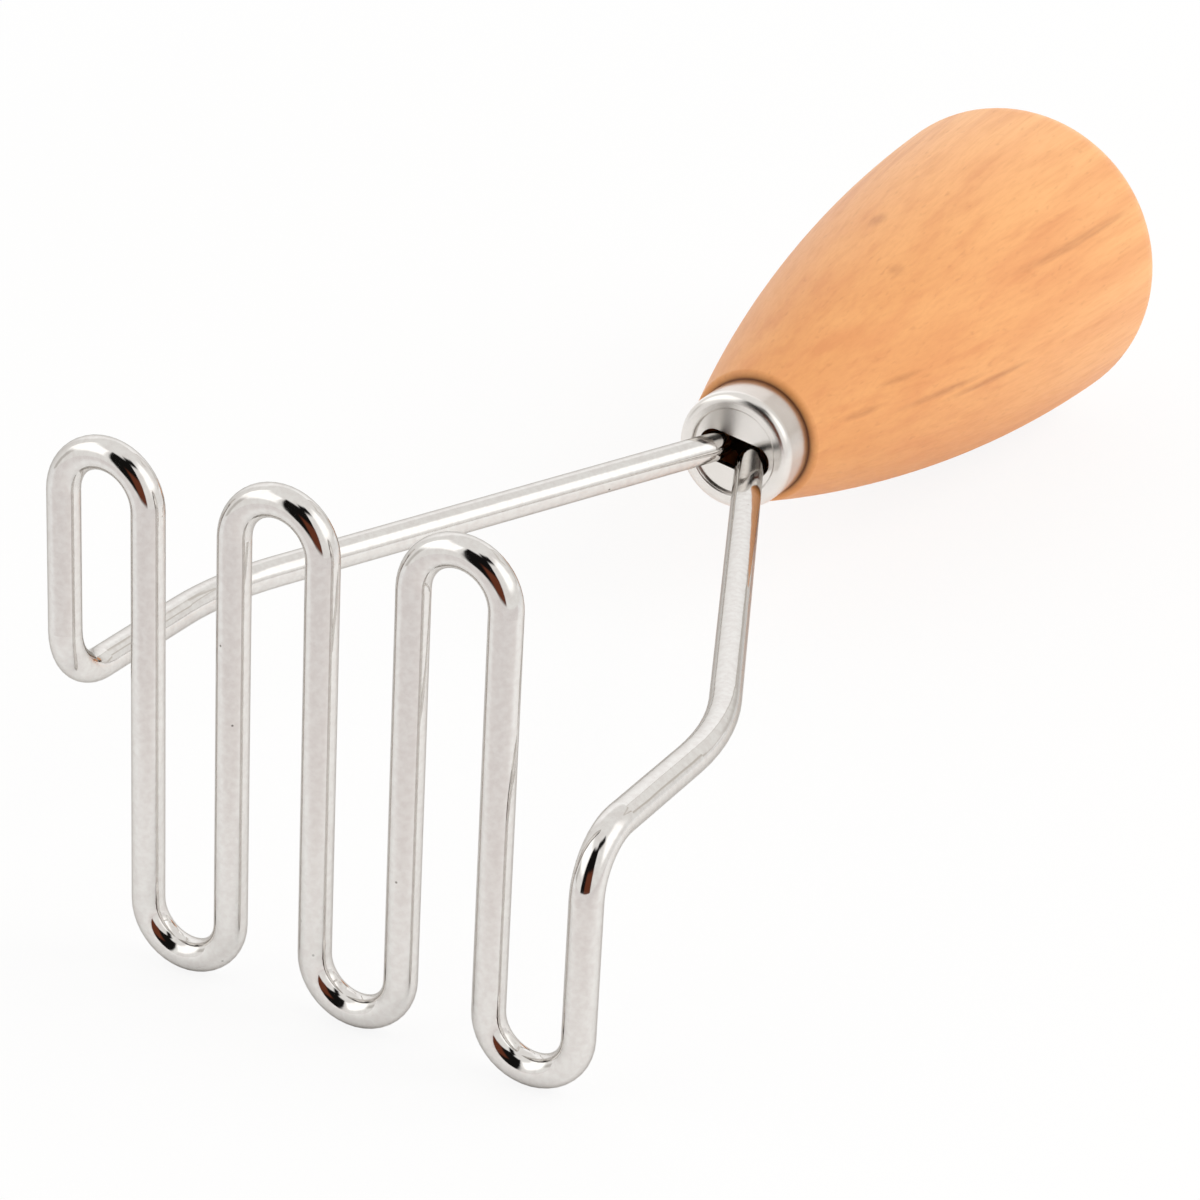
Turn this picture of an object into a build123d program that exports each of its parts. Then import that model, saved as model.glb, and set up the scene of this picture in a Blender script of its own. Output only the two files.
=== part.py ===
from build123d import *
import os
from math import asin, atan2, cos, degrees, radians, sin, sqrt, tan

os.makedirs("parts", exist_ok=True)

# Potato masher lying on a table, in millimetres.
# It is drawn about the handle's own axis: X along the row of legs, Y along the handle from the
# grid to the palm end, Z along the legs. At the end it is laid on its lower bends and its belly.

# Wire: one round rod, bent into the grid, the two shanks and the two tangs.
wire_diameter = 4.0
leg_count = 7
leg_pitch = 11.7
grid_height = 65.8
grid_drop = 2.05            # the middle of the grid lies this far under the handle's axis
grid_turn_angle = 0.25      # the top of the grid leans this much away from the handle
corner_radius = 7.1         # centre line, where an outer leg turns into its shank
knee_distance = 32.5        # from the grid to the point where a shank turns in
knee_radius = 40.0
tang_spacing = 5.5          # between the centre lines of the two tangs
tang_turn_angle = 10.0      # the pair of tangs is turned this much from the row of legs
tang_drop = 0.3             # the middle of the pair lies this far under the handle's axis
tang_bend_radius = 6.0
tang_depth = 36.0           # how far the tangs reach into the wood

# Ferrule: a cap with a rounded rim, a recessed face and one slot for both tangs.
ferrule_distance = 105.3    # from the grid to the rim of the ferrule, where the shanks end in tangs
ferrule_radius = 8.4
ferrule_length = 6.7
ferrule_wall = 1.0
ferrule_face = 1.0          # thickness of the slotted face
rim_width = 2.25            # from the outside of the ferrule in to its recess
rim_rounding = 1.3
rim_inner_rounding = 0.3
recess_depth = 0.6
slot_length = 10.8
slot_clearance = 0.3        # on each side of the wire

# Handle: turned wood, three arcs that run into one another, seated in the ferrule by a spigot.
neck_radius = 9.4
neck_rounding = 0.95
belly_length = 89.8         # from the end of the ferrule to the widest place
palm_length = 15.5          # from the widest place to the tip
flank_radius = 361.0
shoulder_radius = 8.0       # of the turn from the flank into the palm end
palm_radius = 29.0          # of the round end, whose centre is on the axis
spigot_clearance = 0.05
spigot_gap = 0.6            # between the spigot and the back of the ferrule's face
drill_tip_angle = 118.0

# Adhesive around the tangs in the bore.
adhesive_film = 1.25        # between the tangs and the wall of the bore
adhesive_recess = 8.0       # below the mouth of the bore
adhesive_past_tang = 2.0


def rounded_corner(before, corner, after, radius):
    """Arc of the centre line that rounds one corner and is tangent to both of its runs."""
    back = (before - corner).normalized()
    onward = (after - corner).normalized()
    half_turn = radians(180 - back.get_angle(onward)) / 2
    start = corner + back * (radius * tan(half_turn))
    end = corner + onward * (radius * tan(half_turn))
    middle = corner + (back + onward).normalized() * (radius / cos(half_turn) - radius)
    return ThreePointArc(start, middle, end)


def joined_path(start, arcs, end):
    """The arcs in their order, joined by straight runs, as one centre line."""
    edges = []
    here = start
    for arc in arcs:
        edges.append(Line(here, arc @ 0))
        edges.append(arc)
        here = arc @ 1
    edges.append(Line(here, end))
    return Wire(edges)


def bar_along_handle(radius, start, end):
    """Round bar about the handle's axis."""
    axis = Plane(origin=(0, start, 0), x_dir=(1, 0, 0), z_dir=(0, 1, 0))
    return extrude(axis * Circle(radius), end - start)


# Places along the handle and across it that several pieces share.
wire_radius = wire_diameter / 2
bend_radius = leg_pitch / 2
straight_half = grid_height / 2 - bend_radius - wire_radius
outer_leg = (leg_count - 1) / 2 * leg_pitch
shoulder_distance = ferrule_distance + ferrule_length
tang_across = tang_spacing / 2 * cos(radians(tang_turn_angle))
tang_up = tang_spacing / 2 * sin(radians(tang_turn_angle))
tang_end = shoulder_distance + tang_depth
recess_floor = ferrule_distance + recess_depth
face_back = recess_floor + ferrule_face
spigot_front = face_back + spigot_gap
bore_radius = tang_spacing / 2 + wire_radius + adhesive_film
bore_end = tang_end + adhesive_past_tang

# Places along and across the handle's outline.
belly_distance = shoulder_distance + belly_length
palm_tip = belly_distance + palm_length
palm_centre = palm_tip - palm_radius
shoulder_offset = sqrt((palm_radius - shoulder_radius) ** 2 - (belly_distance - palm_centre) ** 2)


def on_grid(across, behind, up):
    """A place measured from the middle of the grid, in the grid's own upright plane and behind it."""
    return Vector(across, behind, up).rotate(Axis.X, grid_turn_angle) - Vector(0, 0, grid_drop)


def shank_arcs(side):
    """Bends from the tang down to the grid on one side: side is -1 on the left, 1 on the right."""
    tang_tip = Vector(side * tang_across, tang_end, -side * tang_up - tang_drop)
    tang_bend = Vector(side * tang_across, ferrule_distance, -side * tang_up - tang_drop)
    knee = on_grid(side * outer_leg, knee_distance, 0)
    foot = on_grid(side * outer_leg, 0, 0)
    leg_end = on_grid(side * outer_leg, 0, -side * straight_half)
    return tang_tip, [
        rounded_corner(tang_tip, tang_bend, knee, tang_bend_radius),
        rounded_corner(tang_bend, knee, foot, knee_radius),
        rounded_corner(knee, foot, leg_end, corner_radius),
    ]


def grid_arcs():
    """U-bends of the grid from left to right, the first at the top and then by turns."""
    arcs = []
    for gap in range(leg_count - 1):
        left = gap * leg_pitch - outer_leg
        up = 1 if gap % 2 == 0 else -1
        start = on_grid(left, 0, up * straight_half)
        middle = on_grid(left + bend_radius, 0, up * (straight_half + bend_radius))
        end = on_grid(left + leg_pitch, 0, up * straight_half)
        arcs.append(ThreePointArc(start, middle, end))
    return arcs


def masher_wire():
    """The bent rod: left tang and shank, the grid, right shank and tang, in one sweep."""
    left_tip, left_arcs = shank_arcs(-1)
    right_tip, right_arcs = shank_arcs(1)
    right_arcs = [ThreePointArc(arc @ 1, arc @ 0.5, arc @ 0) for arc in reversed(right_arcs)]
    path = joined_path(left_tip, left_arcs + grid_arcs() + right_arcs, right_tip)
    section = Plane(origin=path @ 0, z_dir=path % 0) * Circle(wire_radius)
    print("wire length", round(path.length, 2), "section times length", round(section.area * path.length, 1))
    return sweep(section, path=path)


def ferrule():
    """Cap over the spigot: rounded rim, recessed face with its slot, and a thin wall."""
    cap = bar_along_handle(ferrule_radius, ferrule_distance, shoulder_distance)
    cap = fillet(cap.edges().filter_by(GeomType.CIRCLE).sort_by(Axis.Y)[0], rim_rounding)
    cap -= bar_along_handle(ferrule_radius - rim_width, ferrule_distance, recess_floor)
    cap = fillet(cap.edges().filter_by(GeomType.CIRCLE).group_by(Axis.Y)[0], rim_inner_rounding)
    cap -= bar_along_handle(ferrule_radius - ferrule_wall, face_back, shoulder_distance)
    slot_plane = Plane(origin=(0, recess_floor, -tang_drop), x_dir=(1, 0, 0), z_dir=(0, 1, 0))
    slot = slot_plane * Rot(Z=tang_turn_angle) * SlotOverall(slot_length, wire_diameter + 2 * slot_clearance)
    return cap - extrude(slot, ferrule_face)


def handle():
    """Egg-shaped turned body with a spigot for the ferrule and a blind bore for the tangs."""
    neck = Vector(neck_radius, shoulder_distance, 0)
    tip = Vector(0, palm_tip, 0)
    palm_middle = Vector(0, palm_centre, 0)
    shoulder_middle = Vector(shoulder_offset, belly_distance, 0)
    reach = shoulder_middle - neck
    along = (reach.length**2 + flank_radius**2 - (flank_radius - shoulder_radius) ** 2) / (2 * reach.length)
    inward = sqrt(flank_radius**2 - along**2)
    flank_middle = neck + reach.normalized() * along + reach.normalized().rotate(Axis.Z, 90) * inward
    shoulder_start = flank_middle + (shoulder_middle - flank_middle).normalized() * flank_radius
    palm_start = palm_middle + (shoulder_middle - palm_middle).normalized() * palm_radius
    outline = [
        Line((0, shoulder_distance), neck),
        RadiusArc(neck, shoulder_start, -flank_radius),
        RadiusArc(shoulder_start, palm_start, -shoulder_radius),
        RadiusArc(palm_start, tip, -palm_radius),
        Line(tip, (0, shoulder_distance)),
    ]
    body = revolve(make_face(outline), Axis.Y)
    neck_edge = body.edges().filter_by(GeomType.CIRCLE).sort_by(Axis.Y)[0]
    body = fillet(neck_edge, neck_rounding)
    spigot_radius = ferrule_radius - ferrule_wall - spigot_clearance
    body += bar_along_handle(spigot_radius, spigot_front, shoulder_distance)
    body -= bar_along_handle(bore_radius, spigot_front, bore_end)
    tip_length = bore_radius / tan(radians(drill_tip_angle / 2))
    drill_tip = Plane(origin=(0, bore_end, 0), x_dir=(1, 0, 0), z_dir=(0, 1, 0)) * Cone(
        bore_radius, 0, tip_length, align=(Align.CENTER, Align.CENTER, Align.MIN)
    )
    return body - drill_tip


def tang_adhesive():
    """Filling of the bore around both tangs, closed under their ends."""
    filling = bar_along_handle(bore_radius, spigot_front + adhesive_recess, bore_end)
    for side in (-1, 1):
        tang = bar_along_handle(wire_radius, spigot_front, tang_end)
        filling -= Pos(side * tang_across, 0, -side * tang_up - tang_drop) * tang
    return filling


def lying_place():
    """Turn and shift that lay the upright drawing on the table, with the origin under its middle."""
    low_bend = on_grid(0, 0, -straight_half - bend_radius)
    belly = Vector(0, belly_distance, -shoulder_offset)
    lean = atan2(belly.Z - low_bend.Z, belly.Y - low_bend.Y)
    lean -= asin((shoulder_radius - wire_radius) / (belly - low_bend).length)
    table = wire_radius + low_bend.Y * sin(lean) - low_bend.Z * cos(lean)
    near_end = low_bend.Y * cos(lean) + low_bend.Z * sin(lean) - wire_radius
    far_end = palm_centre * cos(lean) + palm_radius
    middle = (near_end + far_end) / 2
    print("lean", round(degrees(lean), 4), "height of axis", round(table, 4), "middle", round(middle, 4))
    return Pos(0, -middle, table) * Rot(X=-degrees(lean))


lying = lying_place()
pieces = {
    "masher_wire": masher_wire(),
    "ferrule": ferrule(),
    "handle": handle(),
    "tang_adhesive": tang_adhesive(),
}
for name, piece in pieces.items():
    export_step(lying * piece, f"parts/{name}.step")
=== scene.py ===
import math

import bpy
import numpy as np
from mathutils import Euler, Matrix, Vector


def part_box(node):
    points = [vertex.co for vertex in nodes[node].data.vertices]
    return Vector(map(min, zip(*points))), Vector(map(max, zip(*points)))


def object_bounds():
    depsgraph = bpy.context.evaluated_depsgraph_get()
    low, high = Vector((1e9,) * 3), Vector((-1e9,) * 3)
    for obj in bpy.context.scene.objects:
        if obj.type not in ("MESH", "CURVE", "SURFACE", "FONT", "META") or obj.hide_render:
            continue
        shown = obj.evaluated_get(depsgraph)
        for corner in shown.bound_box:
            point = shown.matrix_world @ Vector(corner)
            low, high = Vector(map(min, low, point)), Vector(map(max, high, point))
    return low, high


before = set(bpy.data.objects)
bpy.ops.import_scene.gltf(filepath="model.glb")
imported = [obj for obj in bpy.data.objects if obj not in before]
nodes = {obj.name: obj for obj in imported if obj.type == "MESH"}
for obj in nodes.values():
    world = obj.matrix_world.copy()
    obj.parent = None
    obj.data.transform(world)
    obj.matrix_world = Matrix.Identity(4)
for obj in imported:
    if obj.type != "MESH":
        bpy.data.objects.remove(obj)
cad_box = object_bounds()

MM = 0.001

# The handle's axis runs through the middle of the ferrule and leans down towards the palm end.
HANDLE_LEAN = math.radians(3.081)
ferrule_low, ferrule_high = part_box("ferrule")
ferrule_middle = (ferrule_low + ferrule_high) / 2
object_middle = (cad_box[0] + cad_box[1]) / 2
FERRULE_RADIUS = 8.4 * MM
# Places along the handle's axis, from the middle of the ferrule towards the palm end.
RIM_END = -1.6 * MM
SEAM = 3.35 * MM
PALM_SHOULDER = 94 * MM
PALM_EDGE = 106 * MM


def linear(hex_colour):
    """An sRGB hex colour as linear red, green, blue and alpha."""
    channels = [int(hex_colour[i : i + 2], 16) / 255 for i in (1, 3, 5)]
    return [c / 12.92 if c <= 0.04045 else ((c + 0.055) / 1.055) ** 2.4 for c in channels] + [1.0]


def add(tree, kind, settings=None, links=None):
    """One node, with its properties and inputs set, and other nodes' outputs linked to its inputs."""
    made = tree.nodes.new(kind)
    for name, value in (settings or {}).items():
        if isinstance(name, str) and hasattr(made, name):
            setattr(made, name, value)
        else:
            made.inputs[name].default_value = value
    for name, source in (links or {}).items():
        tree.links.new(source, made.inputs[name])
    return made


def new_material(name):
    """A material without nodes yet, and its node tree."""
    material = bpy.data.materials.new(name)
    material.use_nodes = True
    material.node_tree.nodes.clear()
    return material, material.node_tree


def dress(node_name, material):
    """Gives a CAD node its material in every slot."""
    mesh = nodes[node_name].data
    if not mesh.materials:
        mesh.materials.append(material)
    for index in range(len(mesh.materials)):
        mesh.materials[index] = material


def axis_place(tree):
    """Object coordinates from the ferrule's middle, turned so that Y runs along the handle's axis."""
    place = add(tree, "ShaderNodeTexCoord").outputs["Object"]
    turn = Matrix.Rotation(HANDLE_LEAN, 3, "X")
    return add(
        tree,
        "ShaderNodeMapping",
        {"Location": -(turn @ ferrule_middle), "Rotation": (HANDLE_LEAN, 0, 0)},
        {"Vector": place},
    ).outputs[0]


def polished_stainless_rod():
    """Drawn stainless steel rod, bent and then tumble polished: a clear grey mirror that wavers a little
    along the rod, with a faint bloom, a few small pits, and a darker reflection at a glancing angle."""
    material, tree = new_material("polished_stainless_rod")
    place = add(tree, "ShaderNodeTexCoord").outputs["Object"]
    # The rod wavers over about 7 mm and the tumbling media leave dimples about 0.9 mm across.
    ripple = add(
        tree, "ShaderNodeTexNoise", {"Scale": 1 / (7 * MM), "Detail": 1.0}, {"Vector": place}
    )
    dimples = add(
        tree, "ShaderNodeTexNoise", {"Scale": 1 / (0.9 * MM), "Detail": 1.0}, {"Vector": place}
    )
    # The bloom of the polish is finer than shows, so it is drawn in clouds of 0.8 mm.
    bloom = add(
        tree, "ShaderNodeTexNoise", {"Scale": 1 / (0.8 * MM), "Detail": 3.0}, {"Vector": place}
    )
    # Pits are about 0.3 mm across, one in each patch of 4 mm at most.
    pit_cell = add(tree, "ShaderNodeTexVoronoi", {"Scale": 1 / (4.0 * MM)}, {"Vector": place})
    pit = add(
        tree,
        "ShaderNodeMapRange",
        {"From Min": 0.025, "From Max": 0.05, "To Min": 1.0, "To Max": 0.0},
        {"Value": pit_cell.outputs["Distance"]},
    )
    pit_kept = add(
        tree,
        "ShaderNodeMath",
        {"operation": "MULTIPLY"},
        {0: pit.outputs[0], 1: pit_cell.outputs["Color"]},
    )
    bloom_share = add(
        tree, "ShaderNodeMapRange", {"From Min": 0.35, "From Max": 0.65}, {"Value": bloom.outputs[0]}
    )
    steel = add(
        tree,
        "ShaderNodeMixRGB",
        {"Color1": linear("#e2e0dd"), "Color2": linear("#dbd7d4")},
        {"Fac": bloom_share.outputs[0]},
    )
    colour = add(
        tree,
        "ShaderNodeMixRGB",
        {"Color2": linear("#4a3f33")},
        {"Fac": pit_kept.outputs[0], "Color1": steel.outputs[0]},
    )
    roughness = add(
        tree,
        "ShaderNodeMapRange",
        {"From Min": 0.3, "From Max": 0.7, "To Min": 0.03, "To Max": 0.1},
        {"Value": bloom.outputs[0]},
    )
    ripple_bump = add(
        tree, "ShaderNodeBump", {"Strength": 0.25, "Distance": 0.2 * MM}, {"Height": ripple.outputs[0]}
    )
    dimple_bump = add(
        tree,
        "ShaderNodeBump",
        {"Strength": 0.3, "Distance": 0.004 * MM},
        {"Height": dimples.outputs[0], "Normal": ripple_bump.outputs[0]},
    )
    pit_bump = add(
        tree,
        "ShaderNodeBump",
        {"Strength": 0.5, "Distance": 0.05 * MM, "invert": True},
        {"Height": pit_kept.outputs[0], "Normal": dimple_bump.outputs[0]},
    )
    shader = add(
        tree,
        "ShaderNodeBsdfPrincipled",
        {"Metallic": 1.0, "Specular Tint": linear("#c4c2bf")},
        {"Base Color": colour.outputs[0], "Roughness": roughness.outputs[0], "Normal": pit_bump.outputs[0]},
    )
    add(tree, "ShaderNodeOutputMaterial", links={"Surface": shader.outputs[0]})
    return material


def polished_stainless_cap():
    """Pressed stainless steel cap, buffed to a soft shine whose fine lines spread the reflections along
    the handle. Its side is painted darker and warmer than its face, its rim and its rear edge: painted
    shade and a painted reflection of the wood, which leaves a painted highlight on the rear edge."""
    material, tree = new_material("polished_stainless_cap")
    place = axis_place(tree)
    along = add(tree, "ShaderNodeSeparateXYZ", links={0: place}).outputs[1]
    # Buffing lines run round the cap, about 0.25 mm apart along its axis.
    lines_place = add(
        tree,
        "ShaderNodeMapping",
        {"Scale": (1 / (9 * MM), 1 / (0.25 * MM), 1 / (9 * MM))},
        {"Vector": place},
    )
    lines = add(
        tree, "ShaderNodeTexNoise", {"Scale": 1.0, "Detail": 2.0}, {"Vector": lines_place.outputs[0]}
    )
    # The polish is uneven in soft clouds of about 3 mm.
    cloud = add(tree, "ShaderNodeTexNoise", {"Scale": 1 / (3 * MM), "Detail": 2.0}, {"Vector": place})
    behind_rim = add(
        tree,
        "ShaderNodeMapRange",
        {"interpolation_type": "SMOOTHSTEP", "From Min": RIM_END - 0.9 * MM, "From Max": RIM_END},
        {"Value": along},
    )
    before_edge_highlight = add(
        tree,
        "ShaderNodeMapRange",
        {
            "interpolation_type": "SMOOTHSTEP",
            "From Min": SEAM - 0.15 * MM,
            "From Max": SEAM - 0.5 * MM,
        },
        {"Value": along},
    )
    # The side, between the rim and the rear edge, takes painted shade; the rear edge keeps the lighter tone
    # as a painted highlight.
    side = add(
        tree,
        "ShaderNodeMath",
        {"operation": "MULTIPLY"},
        {0: behind_rim.outputs[0], 1: before_edge_highlight.outputs[0]},
    )
    face_tone = add(
        tree,
        "ShaderNodeMixRGB",
        {"Color1": linear("#e8e4e1"), "Color2": linear("#ddd9d4")},
        {"Fac": cloud.outputs[0]},
    )
    # Painted shade and painted reflection of the wood: the side's darker, warmer tones.
    shaded_side_tone = add(
        tree,
        "ShaderNodeMixRGB",
        {"Color1": linear("#d3ccc6"), "Color2": linear("#c7beb7")},
        {"Fac": cloud.outputs[0]},
    )
    colour = add(
        tree,
        "ShaderNodeMixRGB",
        links={"Fac": side.outputs[0], "Color1": face_tone.outputs[0], "Color2": shaded_side_tone.outputs[0]},
    )
    roughness = add(
        tree, "ShaderNodeMapRange", {"To Min": 0.15, "To Max": 0.3}, {"Value": lines.outputs[0]}
    )
    bump = add(
        tree, "ShaderNodeBump", {"Strength": 0.15, "Distance": 0.02 * MM}, {"Height": lines.outputs[0]}
    )
    shader = add(
        tree,
        "ShaderNodeBsdfPrincipled",
        {"Metallic": 1.0},
        {"Base Color": colour.outputs[0], "Roughness": roughness.outputs[0], "Normal": bump.outputs[0]},
    )
    add(tree, "ShaderNodeOutputMaterial", links={"Surface": shader.outputs[0]})
    return material


def oiled_beech():
    """Turned and oiled beech: warm tan, with straight soft growth bands and fine fibres along the handle,
    growth rings on the palm end, a few darker streaks and pin knots, and a satin surface that is smooth
    from sanding on the lathe."""
    material, tree = new_material("oiled_beech")
    wood_place = axis_place(tree)
    along = add(tree, "ShaderNodeSeparateXYZ", links={0: wood_place}).outputs[1]

    def grain_noise(across, along_grain, through, detail):
        """Noise whose patches are so many millimetres across the grain, along it and through it."""
        stretched = add(
            tree,
            "ShaderNodeMapping",
            {"Scale": (1 / (across * MM), 1 / (along_grain * MM), 1 / (through * MM))},
            {"Vector": wood_place},
        )
        return add(
            tree, "ShaderNodeTexNoise", {"Scale": 1.0, "Detail": detail}, {"Vector": stretched.outputs[0]}
        ).outputs[0]

    def tinted(colour, tint, strength, pattern, low, high):
        """The colour, turned towards a tint by up to a strength where the pattern rises from low to high."""
        share = add(
            tree,
            "ShaderNodeMapRange",
            {"From Min": low, "From Max": high, "To Max": strength},
            {"Value": pattern},
        )
        return add(
            tree,
            "ShaderNodeMixRGB",
            {"Color2": linear(tint)},
            {"Fac": share.outputs[0], "Color1": colour},
        ).outputs[0]

    # The wood is darker by the ferrule and paler towards the palm end.
    tone = add(
        tree,
        "ShaderNodeMapRange",
        {"interpolation_type": "SMOOTHSTEP", "From Min": 5 * MM, "From Max": 112 * MM},
        {"Value": along},
    )
    colour = add(
        tree,
        "ShaderNodeMixRGB",
        {"Color1": linear("#e29d61"), "Color2": linear("#f4b578")},
        {"Fac": tone.outputs[0]},
    ).outputs[0]
    # The palm end shows end grain: growth rings 2.5 mm apart round a pith beside the handle's axis.
    end_grain = add(
        tree,
        "ShaderNodeMapRange",
        {"interpolation_type": "SMOOTHSTEP", "From Min": PALM_SHOULDER, "From Max": PALM_EDGE},
        {"Value": along},
    ).outputs[0]
    flank = add(tree, "ShaderNodeMath", {"operation": "SUBTRACT", 0: 1.0}, {1: end_grain}).outputs[0]
    from_pith = add(
        tree, "ShaderNodeMapping", {"Location": (21 * MM, 0, 16 * MM)}, {"Vector": wood_place}
    )
    # A wave texture has one ring in each pi/10 of its scaled radius.
    ring_spacing = 2.5 * MM
    rings = add(
        tree,
        "ShaderNodeTexWave",
        {
            "wave_type": "RINGS",
            "rings_direction": "Y",
            "Scale": math.pi / 10 / ring_spacing,
            "Distortion": 2.0,
            "Detail": 2.0,
            "Detail Scale": 0.5,
        },
        {"Vector": from_pith.outputs[0]},
    )
    ring_share = add(
        tree, "ShaderNodeMath", {"operation": "MULTIPLY"}, {0: rings.outputs["Fac"], 1: end_grain}
    )
    colour = tinted(colour, "#d8935f", 0.3, ring_share.outputs[0], 0.4, 1.0)

    # Growth bands on the flank: patch sizes in mm, tint, how strong it is, and the noise's range.
    for sizes, tint, strength, low, high in (
        ((5, 60, 5), "#f4b676", 0.35, 0.4, 0.65),
        ((4.5, 90, 4.5), "#da8d58", 0.48, 0.46, 0.7),
        ((1.8, 45, 1.3), "#d48853", 0.35, 0.5, 0.72),
    ):
        band = add(
            tree, "ShaderNodeMath", {"operation": "MULTIPLY"}, {0: grain_noise(*sizes, 2.0), 1: flank}
        )
        colour = tinted(colour, tint, strength, band.outputs[0], low, high)

    # Fibres 0.4 mm wide and short flecks 0.7 mm wide, both coarser than real ones so that they show.
    fibres = grain_noise(0.4, 8, 0.4, 3.0)
    colour = tinted(colour, "#d08a54", 0.25, fibres, 0.42, 0.75)
    colour = tinted(colour, "#c47f4a", 0.3, grain_noise(0.7, 2.6, 0.7, 1.0), 0.64, 0.8)

    # Streaks and pin knots: place in the wood's frame and half sizes in mm, and how dark each is.
    ragged = grain_noise(0.9, 9, 0.5, 3.0)
    for middle, half_sizes, strength in (
        ((-2.4, 46.0, 19.2), (1.7, 3.6, 1.8), 0.6),
        ((5.7, 35.2, 16.3), (1.5, 3.0, 1.6), 0.45),
        ((18.0, 66.0, 12.6), (6.0, 17.0, 0.8), 0.55),
        ((19.5, 78.0, 13.0), (6.0, 17.0, 0.8), 0.6),
        ((16.0, 31.0, 1.6), (5.0, 15.0, 0.8), 0.7),
        ((18.8, 43.0, 0.2), (5.0, 16.0, 0.8), 0.7),
        ((13.2, 22.0, 5.8), (4.0, 7.0, 0.7), 0.5),
        ((11.6, 13.0, 3.2), (4.0, 6.0, 0.8), 0.6),
    ):
        near = add(
            tree,
            "ShaderNodeMapping",
            {
                "Location": [-c / h for c, h in zip(middle, half_sizes)],
                "Scale": [1 / (h * MM) for h in half_sizes],
            },
            {"Vector": wood_place},
        )
        away = add(tree, "ShaderNodeVectorMath", {"operation": "LENGTH"}, {0: near.outputs[0]})
        inside = add(
            tree,
            "ShaderNodeMapRange",
            {"interpolation_type": "SMOOTHSTEP", "From Min": 1.0, "From Max": 0.1},
            {"Value": away.outputs["Value"]},
        )
        patch = add(tree, "ShaderNodeMath", {"operation": "MULTIPLY"}, {0: inside.outputs[0], 1: ragged})
        colour = tinted(colour, "#b87647", strength, patch.outputs[0], 0.0, 0.6)

    # Painted shade: the wood is darkened in the seam against the ferrule, the more the nearer to its circle.
    across = add(tree, "ShaderNodeVectorMath", {"operation": "MULTIPLY", 1: (1, 0, 1)}, {0: wood_place})
    radius = add(tree, "ShaderNodeVectorMath", {"operation": "LENGTH"}, {0: across.outputs[0]})
    section = add(tree, "ShaderNodeCombineXYZ", links={0: radius.outputs["Value"], 1: along})
    from_seam = add(
        tree,
        "ShaderNodeVectorMath",
        {"operation": "DISTANCE", 1: (FERRULE_RADIUS, SEAM, 0)},
        {0: section.outputs[0]},
    )
    seam_shade_closeness = add(
        tree,
        "ShaderNodeMapRange",
        {"From Min": 0.9 * MM, "From Max": 0.05 * MM},
        {"Value": from_seam.outputs["Value"]},
    )
    painted_seam_shade = add(tree, "ShaderNodeMath", {"operation": "POWER", 1: 3.0}, {0: seam_shade_closeness.outputs[0]})
    # The painted seam shade mixes in dark brown.
    colour = add(
        tree,
        "ShaderNodeMixRGB",
        {"Color2": linear("#6e3f22")},
        {"Fac": painted_seam_shade.outputs[0], "Color1": colour},
    ).outputs[0]
    roughness = add(tree, "ShaderNodeMapRange", {"To Min": 0.38, "To Max": 0.52}, {"Value": fibres})
    bump = add(tree, "ShaderNodeBump", {"Strength": 0.15, "Distance": 0.03 * MM}, {"Height": fibres})
    shader = add(
        tree,
        "ShaderNodeBsdfPrincipled",
        {"IOR": 1.4, "Coat Weight": 0.03, "Coat Roughness": 0.35},
        {"Base Color": colour, "Roughness": roughness.outputs[0], "Normal": bump.outputs[0]},
    )
    add(tree, "ShaderNodeOutputMaterial", links={"Surface": shader.outputs[0]})
    return material


def cured_epoxy():
    """Two-part epoxy, set hard in the bore: amber, with small bubbles and a glossy skin."""
    material, tree = new_material("cured_epoxy")
    place = add(tree, "ShaderNodeTexCoord").outputs["Object"]
    # Bubbles lie about 1.2 mm apart.
    bubbles = add(tree, "ShaderNodeTexVoronoi", {"Scale": 1 / (1.2 * MM)}, {"Vector": place})
    bubble_share = add(
        tree,
        "ShaderNodeMapRange",
        {"From Min": 0.1, "From Max": 0.3, "To Min": 1.0, "To Max": 0.0},
        {"Value": bubbles.outputs["Distance"]},
    )
    colour = add(
        tree,
        "ShaderNodeMixRGB",
        {"Color1": linear("#6d5534"), "Color2": linear("#8f744c")},
        {"Fac": bubble_share.outputs[0]},
    )
    bump = add(
        tree, "ShaderNodeBump", {"Strength": 0.3, "Distance": 0.1 * MM}, {"Height": bubble_share.outputs[0]}
    )
    shader = add(
        tree,
        "ShaderNodeBsdfPrincipled",
        {"Roughness": 0.3, "IOR": 1.55},
        {"Base Color": colour.outputs[0], "Normal": bump.outputs[0]},
    )
    add(tree, "ShaderNodeOutputMaterial", links={"Surface": shader.outputs[0]})
    return material


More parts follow.
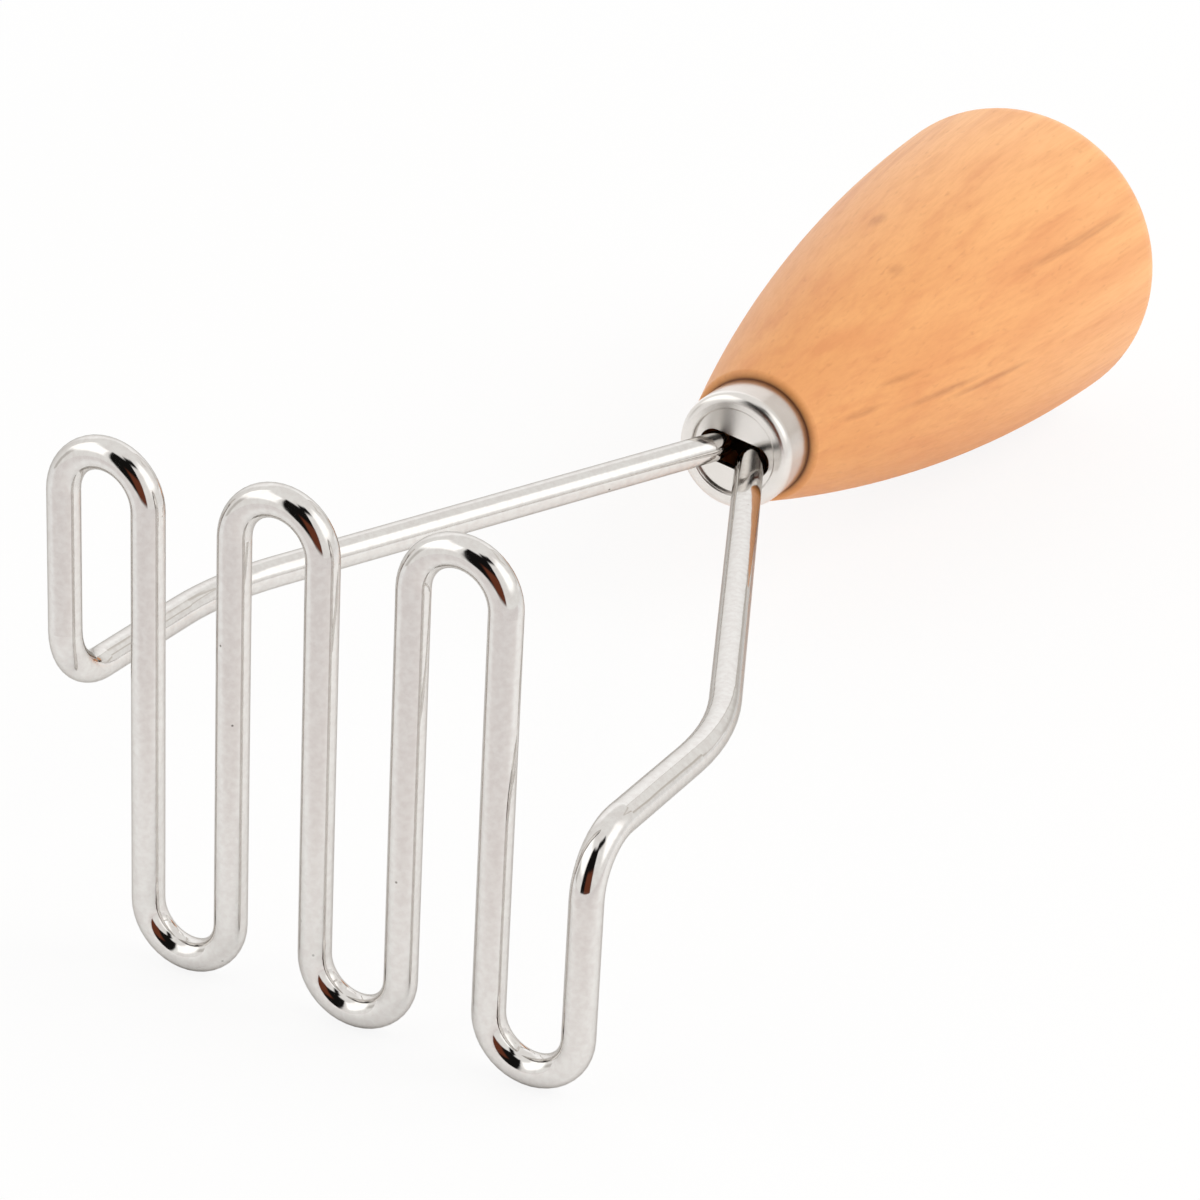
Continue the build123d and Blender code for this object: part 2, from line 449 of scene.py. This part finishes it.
def pale_floor():
    """A round sheet of white paper under the object, which fades into the background at its edge: rings of
    points about the origin, at radius times (cosine, sine) of equal steps of angle, joined by quads."""
    radius = 450 * MM
    rings = np.linspace(0, 1, 25)[1:]
    around = np.linspace(0, 2 * math.pi, 97)[:-1]
    ring_grid, around_grid = np.meshgrid(rings * radius, around, indexing="ij")
    across = ring_grid * np.cos(around_grid)
    back = ring_grid * np.sin(around_grid)
    points = np.stack([across, back, np.zeros_like(across)], axis=-1).reshape(-1, 3)
    points = np.vstack([[0.0, 0.0, 0.0], points])
    count = len(around)
    inner = np.arange(count)
    onward = (inner + 1) % count
    faces = [[0, 1 + a, 1 + b] for a, b in zip(inner, onward)]
    for ring in range(len(rings) - 1):
        near = 1 + ring * count
        far = near + count
        faces += [[near + a, far + a, far + b, near + b] for a, b in zip(inner, onward)]
    mesh = bpy.data.meshes.new("floor")
    mesh.from_pydata(points.tolist(), [], faces)
    floor = bpy.data.objects.new("floor", mesh)
    bpy.context.scene.collection.objects.link(floor)

    material, tree = new_material("white_paper")
    place = add(tree, "ShaderNodeTexCoord").outputs["Object"]
    away = add(tree, "ShaderNodeVectorMath", {"operation": "LENGTH"}, {0: place}).outputs["Value"]
    # The camera sees mostly plain white, and the rest is paper that takes the object's shadow.
    fade = add(
        tree,
        "ShaderNodeMapRange",
        {
            "interpolation_type": "SMOOTHSTEP",
            "From Min": 0.4 * radius,
            "From Max": 0.9 * radius,
            "To Min": 0.88,
            "To Max": 1.0,
        },
        {"Value": away},
    )
    path = add(tree, "ShaderNodeLightPath").outputs
    far = add(
        tree,
        "ShaderNodeMapRange",
        {"interpolation_type": "SMOOTHSTEP", "From Min": 0.15 * radius, "From Max": 0.6 * radius},
        {"Value": away},
    )
    mirrored = add(
        tree,
        "ShaderNodeMath",
        {"operation": "MAXIMUM"},
        {0: path["Is Glossy Ray"], 1: path["Is Transmission Ray"]},
    )
    seen = add(
        tree, "ShaderNodeMath", {"operation": "MULTIPLY"}, {0: fade.outputs[0], 1: path["Is Camera Ray"]}
    )
    share = add(
        tree,
        "ShaderNodeMath",
        {"operation": "MULTIPLY_ADD"},
        {0: far.outputs[0], 1: mirrored.outputs[0], 2: seen.outputs[0]},
    )
    # In the polished steel the sheet is white, with painted shade that makes it a little greyer in front, 24
    # degrees to the right.
    painted_shade_side = math.radians(24)
    toward_painted_shade = add(
        tree,
        "ShaderNodeVectorMath",
        {"operation": "DOT_PRODUCT", 1: (math.sin(painted_shade_side), -math.cos(painted_shade_side), 0)},
        {0: place},
    )
    front = add(
        tree,
        "ShaderNodeMapRange",
        {"interpolation_type": "SMOOTHSTEP", "From Min": 103 * MM, "From Max": 165 * MM},
        {"Value": toward_painted_shade.outputs["Value"]},
    )
    mirrored_shade_tone = add(
        tree,
        "ShaderNodeMixRGB",
        {"Color1": linear("#ffffff"), "Color2": linear("#f0eceb")},
        {"Fac": front.outputs[0]},
    )
    paper_tone = add(
        tree,
        "ShaderNodeMixRGB",
        {"Color1": linear("#f2f0ee")},
        {"Fac": mirrored.outputs[0], "Color2": mirrored_shade_tone.outputs[0]},
    )
    white_tone = add(
        tree,
        "ShaderNodeMixRGB",
        {"Color1": linear("#ffffff")},
        {"Fac": mirrored.outputs[0], "Color2": mirrored_shade_tone.outputs[0]},
    )
    paper = add(tree, "ShaderNodeBsdfDiffuse", links={"Color": paper_tone.outputs[0]})
    white = add(tree, "ShaderNodeEmission", {"Strength": 1.0}, {"Color": white_tone.outputs[0]})
    mixed = add(
        tree, "ShaderNodeMixShader", links={0: share.outputs[0], 1: paper.outputs[0], 2: white.outputs[0]}
    )
    add(tree, "ShaderNodeOutputMaterial", links={"Surface": mixed.outputs[0]})
    mesh.materials.append(material)


def light_tent():
    """A white tent all round. Its opening, on the camera's side, shows the dark room in the polished
    steel, brown low on one side; the background stays white."""
    world = bpy.data.worlds.new("light_tent")
    bpy.context.scene.world = world
    world.use_nodes = True
    tree = world.node_tree
    tree.nodes.clear()
    direction = add(tree, "ShaderNodeTexCoord").outputs["Generated"]
    parts = add(tree, "ShaderNodeSeparateXYZ", links={0: direction}).outputs
    toward = add(tree, "ShaderNodeMath", {"operation": "MULTIPLY", 1: -1.0}, {0: parts[1]})
    # Angles as seen from the object: side is 0 towards -Y and grows towards +X, and height is above
    # the table.
    side = add(
        tree, "ShaderNodeMath", {"operation": "ARCTAN2"}, {0: parts[0], 1: toward.outputs[0]}
    ).outputs[0]
    height = add(tree, "ShaderNodeMath", {"operation": "ARCSINE"}, {0: parts[2]}).outputs[0]

    def between(angle, low, high, soft):
        """1 between two angles in degrees, falling to 0 over soft degrees at each."""
        rise = add(
            tree,
            "ShaderNodeMapRange",
            {
                "interpolation_type": "SMOOTHSTEP",
                "From Min": math.radians(low - soft),
                "From Max": math.radians(low + soft),
            },
            {"Value": angle},
        )
        fall = add(
            tree,
            "ShaderNodeMapRange",
            {
                "interpolation_type": "SMOOTHSTEP",
                "From Min": math.radians(high - soft),
                "From Max": math.radians(high + soft),
                "To Min": 1.0,
                "To Max": 0.0,
            },
            {"Value": angle},
        )
        return add(
            tree, "ShaderNodeMath", {"operation": "MULTIPLY"}, {0: rise.outputs[0], 1: fall.outputs[0]}
        ).outputs[0]

    # What hangs in the tent or shows through its opening: colour, then from where to where its sides
    # and heights run and how soft their edges are, in degrees.
    room = linear("#161514")
    tent = None
    for colour, sides, heights in (
        ([1.19, 1.19, 1.2, 1.0], (150, 220, 8), (-10, 38, 8)),
        ([1.25, 1.25, 1.25, 1.0], (-220, -116, 8), (-10, 38, 8)),
        ([0.66, 0.62, 0.57, 1.0], (144.5, 181.5, 0.8), (0, 42, 2)),
        ([0.98, 0.97, 0.95, 1.0], (147.5, 178.5, 0.8), (2, 39, 2)),
        ([0.8, 0.78, 0.75, 1.0], (158, 178.5, 0.8), (-3, 9, 5)),
        ([1.5, 1.5, 1.48, 1.0], (76, 128, 10), (14, 56, 8)),
        ([1.5, 1.5, 1.48, 1.0], (-86, -26, 3), (16, 54, 6)),
        (linear("#d0cdc9"), (-74, -60, 3), (-20, 14, 6)),
        (room, (-20, 38, 2.5), (-6, 60, 4)),
        (room, (20, 75, 6), (54, 70, 4)),
        (linear("#6b3a28"), (3, 38, 5), (-6, 26, 5)),
    ):
        inside = add(
            tree,
            "ShaderNodeMath",
            {"operation": "MULTIPLY"},
            {0: between(side, *sides), 1: between(height, *heights)},
        )
        mixed = add(
            tree,
            "ShaderNodeMixRGB",
            {"Color1": linear("#f8f7f5"), "Color2": colour},
            {"Fac": inside.outputs[0]},
        )
        if tent:
            tree.links.new(tent, mixed.inputs["Color1"])
        tent = mixed.outputs[0]
    path = add(tree, "ShaderNodeLightPath").outputs
    seen = add(
        tree,
        "ShaderNodeMixRGB",
        {"Color2": linear("#ffffff")},
        {"Fac": path["Is Camera Ray"], "Color1": tent},
    )
    light = add(tree, "ShaderNodeBackground", {"Strength": 1.0}, {"Color": seen.outputs[0]})
    add(tree, "ShaderNodeOutputWorld", links={"Surface": light.outputs[0]})


def soft_lamp(name, place, size, power, target):
    """A square area lamp of a size in metres and a power in watts, at a place and turned to the target.
    It lights the wood but isn't mirrored in the steel."""
    lamp = bpy.data.lights.new(name, "AREA")
    lamp.shape = "SQUARE"
    lamp.size = size
    lamp.energy = power
    holder = bpy.data.objects.new(name, lamp)
    holder.location = place
    holder.rotation_euler = (target - place).to_track_quat("-Z", "Y").to_euler()
    holder.visible_glossy = False
    bpy.context.scene.collection.objects.link(holder)


def add_camera():
    """The photograph's view: from the front, to its right, and above, with a slight roll."""
    place = Vector((196.2, -413.94, 244.95)) * MM
    heading = math.radians(27.629)
    down = math.radians(27.649)
    roll = math.radians(1.781)
    camera = bpy.data.cameras.new("camera")
    camera.sensor_width = 36.0
    camera.lens = 110.8
    camera.clip_start = 10 * MM
    holder = bpy.data.objects.new("camera", camera)
    holder.rotation_mode = "QUATERNION"
    level = Euler((math.pi / 2 - down, 0, heading), "XYZ").to_matrix()
    holder.rotation_quaternion = (level @ Matrix.Rotation(roll, 3, "Z")).to_quaternion()
    holder.location = place
    bpy.context.scene.collection.objects.link(holder)
    bpy.context.scene.camera = holder


dress("masher_wire", polished_stainless_rod())
dress("ferrule", polished_stainless_cap())
dress("handle", oiled_beech())
dress("tang_adhesive", cured_epoxy())

pale_floor()
light_tent()
soft_lamp("right", place=Vector((0.72, 0.18, 0.7)), size=0.7, power=3.5, target=object_middle)
add_camera()

bpy.context.scene.view_settings.view_transform = "Standard"
